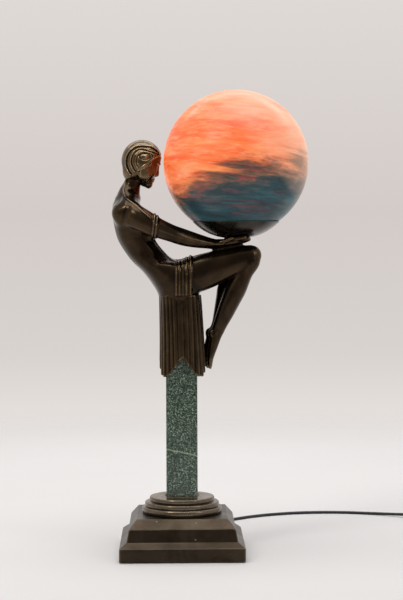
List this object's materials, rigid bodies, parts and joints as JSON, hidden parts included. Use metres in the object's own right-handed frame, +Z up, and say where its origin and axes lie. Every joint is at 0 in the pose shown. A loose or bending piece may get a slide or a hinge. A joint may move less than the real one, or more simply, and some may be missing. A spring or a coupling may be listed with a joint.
{
  "type": "figural table lamp",
  "caption": "Table lamp: a seated bronze figure on a green marble column holds a lit glass globe in a bowl; stepped square base and trailing cord.",
  "frame": {"origin": "centre of the base's underside, on the surface that the lamp stands on", "axes": "+Z up, +X the way the figure faces, -Y the side that the viewer sees"},
  "size_m": [0.5685, 0.4028, 0.639],
  "materials": {
    "patinated_bronze": "dark brown patina with a soft gloss",
    "green_marble": "polished dark green marble",
    "shade_glass": "opal glass with orange and blue-green powders, lit from inside",
    "bulb_glass": "clear",
    "plain_brass": "bright",
    "zinc_steel": "zinc plated",
    "black_steel": "black paint",
    "holder_black": "black thermoset",
    "steatite": "unglazed",
    "led_strip": "lit strips",
    "green_felt": "felt",
    "cork": "cork",
    "black_flex": "black sheath",
    "black_plastic": "moulded",
    "core_insulation": "insulation",
    "nickel": "nickel plated"
  },
  "bodies": {
    "lamp": {"base_casting": "patinated_bronze", "base_cover": "black_steel", "base_felt": "green_felt", "cover_screws": "zinc_steel", "stepped_disc": "patinated_bronze", "marble_column": "green_marble", "column_pads": "cork", "tie_rod": "zinc_steel", "tie_rod_washer": "zinc_steel", "tie_rod_nut": "zinc_steel", "figure_skirt": "patinated_bronze", "figure_torso": "patinated_bronze", "figure_head": "patinated_bronze", "right_arm": "patinated_bronze", "left_arm": "patinated_bronze", "right_leg": "patinated_bronze", "left_leg": "patinated_bronze", "shade_bowl": "patinated_bronze", "bowl_nipple": "zinc_steel", "bowl_nuts": "plain_brass", "shade_gasket": "green_felt", "socket_cap": "holder_black", "socket_shell": "holder_black", "socket_core": "steatite", "socket_thread": "plain_brass", "socket_contact": "plain_brass", "terminal_screws": "zinc_steel", "cord_bushing": "black_flex", "inner_cores": "core_insulation", "cord_lead": "black_flex", "cord_tail": "black_flex", "cord_coil": "black_flex", "cord_tie": "black_plastic", "switch_base": "black_plastic", "switch_cover": "black_plastic", "switch_axle": "zinc_steel", "switch_contacts": "plain_brass", "switch_screws": "zinc_steel", "plug_body": "black_plastic", "plug_pins": "nickel"},
    "globe": {"glass_globe": "shade_glass"},
    "bulb": {"bulb_glass": "bulb_glass", "bulb_cap": "plain_brass", "bulb_contact": "zinc_steel", "bulb_filament": "led_strip"},
    "rocker": {"switch_rocker": "black_plastic"}
  },
  "joints": [
    {"name": "globe_lift", "type": "slide", "parent": "lamp", "child": "globe", "axis": [0, 0, 1], "range_m": [0, 0.14]},
    {"name": "bulb_draw", "type": "slide", "parent": "lamp", "child": "bulb", "axis": [0, 0, 1], "range_m": [0, 0.026]},
    {"name": "switch_rocker", "type": "hinge", "parent": "lamp", "child": "rocker", "pos_m": [0.4, 0.24, 0.0135], "axis": [0.342, 0.9397, 0], "range_deg": [-18, 0]}
  ]
}
